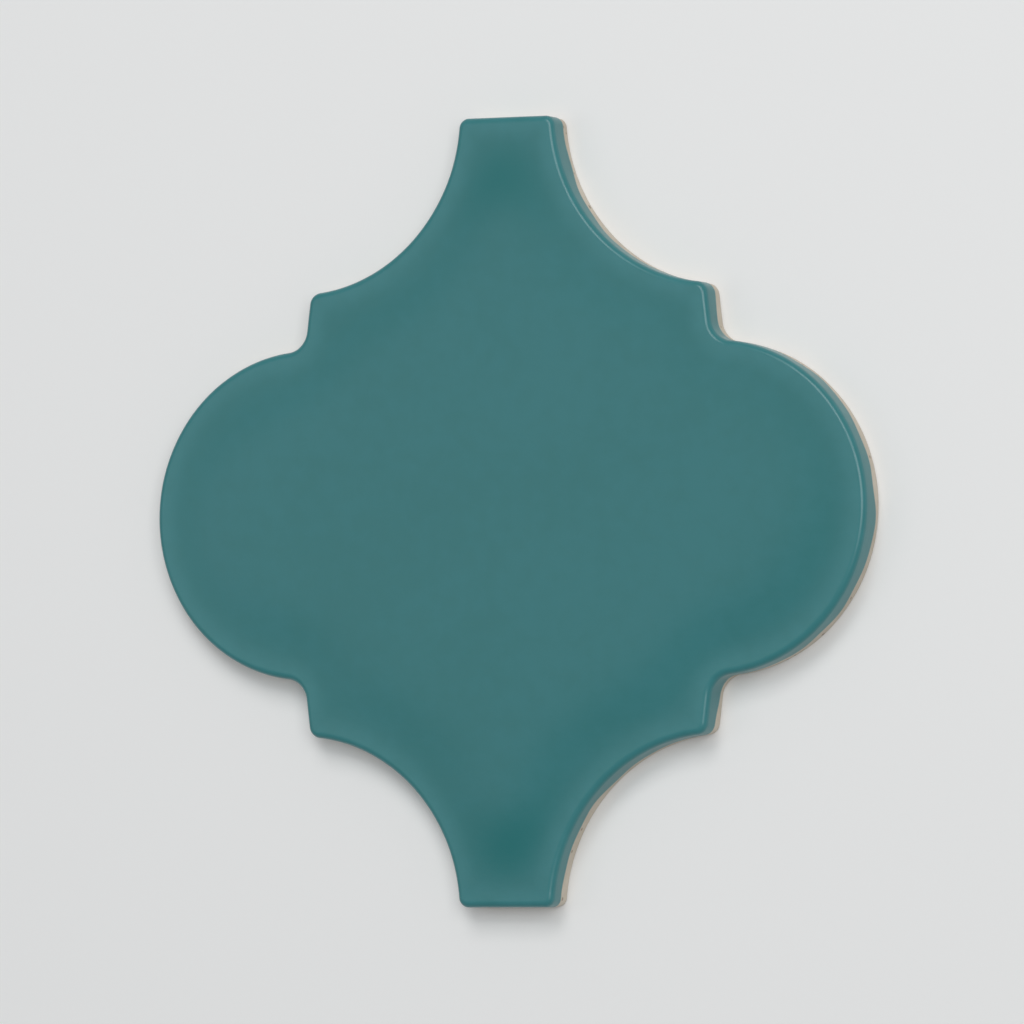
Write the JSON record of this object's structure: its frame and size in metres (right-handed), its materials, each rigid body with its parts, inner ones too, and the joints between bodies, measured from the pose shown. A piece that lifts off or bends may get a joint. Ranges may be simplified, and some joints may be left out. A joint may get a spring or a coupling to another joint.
{
  "type": "arabesque wall tile",
  "caption": "Lantern-shaped glazed ceramic wall tile with round lobes, stepped concave flanks, flat necks, a cushioned edge and a keyed back, which interlocks with like tiles.",
  "frame": {"origin": "centre of the tile's back, in the plane that it rests on", "axes": "+Z out of the glazed face, +Y along the tile from neck to neck, +X across it from lobe to lobe"},
  "size_m": [0.15, 0.152, 0.008],
  "materials": {
    "teal_glaze": "satin"
  },
  "bodies": {
    "root": {"arabesque_tile": "teal_glaze"}
  },
  "joints": []
}
